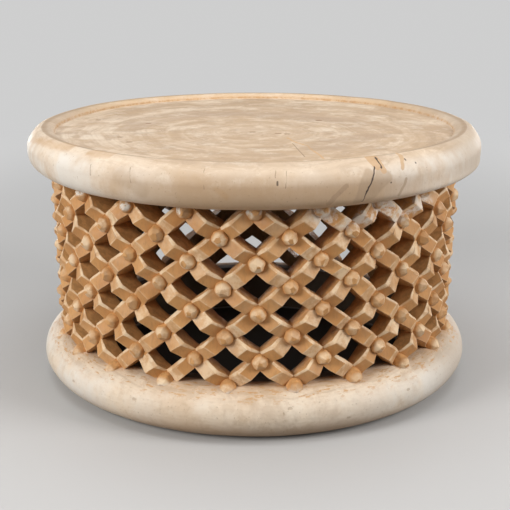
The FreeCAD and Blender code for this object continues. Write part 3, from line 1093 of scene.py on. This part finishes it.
def honey_wood():
    """Knife-cut heartwood: warm on the faces, brown down the cut sides and painted near black with
    shade deeper in, pale on worn edges and, as a painted highlight, on strut halves facing a side
    lamp.
    """
    f = Finish("honey_wood")
    depth = f.attribute("depth")
    wear_and_highlight = f.attribute("wear_and_highlight")
    soft = f.noise(f.place, 14, 3, 0.6)
    f.colour = f.shades(soft, (0.3, (0.45, 0.208, 0.067)), (0.5, (0.535, 0.264, 0.09)),
                        (0.7, (0.60, 0.32, 0.122)))
    fibres = f.noise(f.vectors("MULTIPLY", f.place, (1, 1, 0.09)), 230, 4, 0.6)
    f.tint((0.35, 0.18, 0.075), f.band(fibres, 0.45, 0.72, 0, 0.38))
    bands = f.noise(f.vectors("MULTIPLY", f.place, (1, 1, 0.25)), 55, 3, 0.6, 0.3)
    f.tint((0.37, 0.20, 0.09), f.band(bands, 0.5, 0.72, 0, 0.3))
    pale = f.band(f.noise(f.place, 45, 4, 0.65), 0.38, 0.62, 0.3, 0.95)
    # Pale on worn edges, and as a painted highlight on strut halves facing a side lamp
    f.tint((0.80, 0.61, 0.40), f.band(wear_and_highlight, 0.05, 0.9), pale)
    cut = f.sum("MULTIPLY_ADD", f.noise(f.place, 30, 3), 0.08, depth)
    tooled = f.noise(f.vectors("MULTIPLY", f.place, (1, 1, 0.4)), 110, 3, 0.6)
    sawn = f.mix(f.band(tooled, 0.4, 0.62), (0.66, 0.35, 0.135), (0.48, 0.25, 0.095))
    f.tint(sawn, f.band(cut, 0.04, 0.14, 0, 0.8))
    # Painted shade: near black deep down the cut sides and on the wall's inner face
    f.tint((0.075, 0.04, 0.02), f.band(cut, 0.5, 1.0, 0, 0.93))
    limed_ribs(f, depth)

    fine = f.noise(f.place, 130, 3, 0.6)
    roughness = f.band(fine, 0.3, 0.7, 0.50, 0.66)
    normal = f.bumps((fibres, 0.0005, 0.6), (fine, 0.0005, 0.4), (bands, 0.0012, 0.35))
    return f.finish(roughness, normal, Specular_IOR_Level=0.4)


top_wood = bleached_wood("bleached_top", True)
base_wood = bleached_wood("bleached_base", False)
rib_wood = honey_wood()

for column in range(COLUMNS):
    add_rib(f"right_rib_{column + 1:02d}", [right_rib(column)], rib_wood, True)
    add_rib(f"left_rib_{column + 1:02d}", left_struts(column), rib_wood, False)
for row in range(ROWS):
    add_studs(row, rib_wood)

base = turned_piece("turned_base_ring", BASE_OUTLINE, True)
shade(base, 60)
dress(base, base_wood, "bleached_wood", "base_ring")
top = turned_piece("turned_tabletop", TOP_OUTLINE, False,
                   {"slope": LIP_SLOPE, "crest": LIP_CREST_SHADE}, LIP_SLIPS)
shade(top, 60)
dress(top, top_wood, "bleached_wood", "tabletop")


# Stage, camera and light

BACKDROP = (0.62, 0.62, 0.62)
UNSEEN_GLOW = 0.2


def seen(tree):
    """Share, 1 for what the camera, a mirror or glass sees and 0 for the light on the table."""
    path = add_node(tree, "ShaderNodeLightPath", {}).outputs
    share = path["Is Camera Ray"]
    for other in ("Is Glossy Ray", "Is Transmission Ray"):
        share = add_node(tree, "ShaderNodeMath", {0: share, 1: path[other]},
                         operation="MAXIMUM").outputs[0]
    return share


def glow_strength(tree):
    """Strength of the backdrop: full where it is seen, low as light on the table."""
    inputs = {0: seen(tree), 1: 1 - UNSEEN_GLOW, 2: UNSEEN_GLOW}
    return add_node(tree, "ShaderNodeMath", inputs, operation="MULTIPLY_ADD").outputs[0]


def stage_floor():
    """Pale floor that fades into a backdrop of the same tone, with painted shade, near black, inside
    the ring.
    """
    work = bmesh.new()
    bmesh.ops.create_circle(work, cap_ends=True, segments=96, radius=25)
    mesh = bpy.data.meshes.new("floor")
    work.to_mesh(mesh)
    work.free()
    floor = bpy.data.objects.new("floor", mesh)
    bpy.context.scene.collection.objects.link(floor)
    f = Finish("pale_floor")
    tree = f.tree
    # Painted shade: the floor inside the ring is near black
    inside = f.band(f.radius, 0.31, 0.29)
    colour = f.mix(seen(tree), (0.22, 0.22, 0.22), (0.52, 0.52, 0.52))
    tree.links.new(f.mix(inside, colour, (0.05, 0.045, 0.04)), f.shader.inputs["Base Color"])
    f.shader.inputs["Roughness"].default_value = 0.8
    f.shader.inputs["Specular IOR Level"].default_value = 0.2
    glow = f.node("ShaderNodeEmission", {"Color": (*BACKDROP, 1)})
    tree.links.new(glow_strength(tree), glow.inputs["Strength"])
    blend = f.node("ShaderNodeMixShader", {0: f.band(f.radius, 0.6, 2.6)})
    tree.links.new(f.shader.outputs[0], blend.inputs[1])
    tree.links.new(glow.outputs[0], blend.inputs[2])
    tree.links.new(blend.outputs[0], tree.nodes["Material Output"].inputs[0])
    mesh.materials.append(f.material)


def softbox(name, place, size, power, colour):
    """Lamp aimed at the table, size in metres and power in watts."""
    data = bpy.data.lights.new(name, "AREA")
    data.shape = "RECTANGLE"
    data.size, data.size_y = size
    data.energy = power
    data.color = colour
    lamp = bpy.data.objects.new(name, data)
    lamp.location = place
    aim = np.subtract((0, 0, 0.28), place)
    lamp.rotation_euler = (math.atan2(math.hypot(aim[0], aim[1]), -aim[2]), 0,
                           math.atan2(-aim[0], aim[1]))
    bpy.context.scene.collection.objects.link(lamp)


stage_floor()
for lamp in (
        ("left_softbox", (-2.2, -1.8, 1.4), (1.2, 1.5), 71, (1, 0.98, 0.95)),
        ("right_softbox", (2.45, -1.05, 1.45), (1.2, 1.5), 57, (1, 0.98, 0.96)),
        ("low_back_left", (-1.5, 2.6, 0.35), (1.0, 0.5), 14, (1, 0.99, 0.97)),
        ("low_back_right", (1.5, 2.6, 0.35), (1.0, 0.5), 14, (1, 0.99, 0.97)),
        ("overhead", (0, -0.1, 2.5), (2.4, 2.0), 35, (1, 1, 1))):
    softbox(*lamp)

world = bpy.data.worlds.new("studio")
bpy.context.scene.world = world
world.use_nodes = True
background = world.node_tree.nodes["Background"]
background.inputs["Color"].default_value = (*BACKDROP, 1)
world.node_tree.links.new(glow_strength(world.node_tree), background.inputs["Strength"])

# Camera fitted to the photograph's outlines
CAMERA_PITCH = 0.2829
camera_data = bpy.data.cameras.new("camera")
camera_data.lens = 80.26
camera_data.sensor_width = 36
camera = bpy.data.objects.new("camera", camera_data)
camera.location = (0.0013, -2.012, 0.7867)
camera.rotation_euler = (math.pi / 2 - CAMERA_PITCH, 0, 0)
bpy.context.scene.collection.objects.link(camera)
bpy.context.scene.camera = camera
bpy.context.scene.view_settings.view_transform = "Standard"
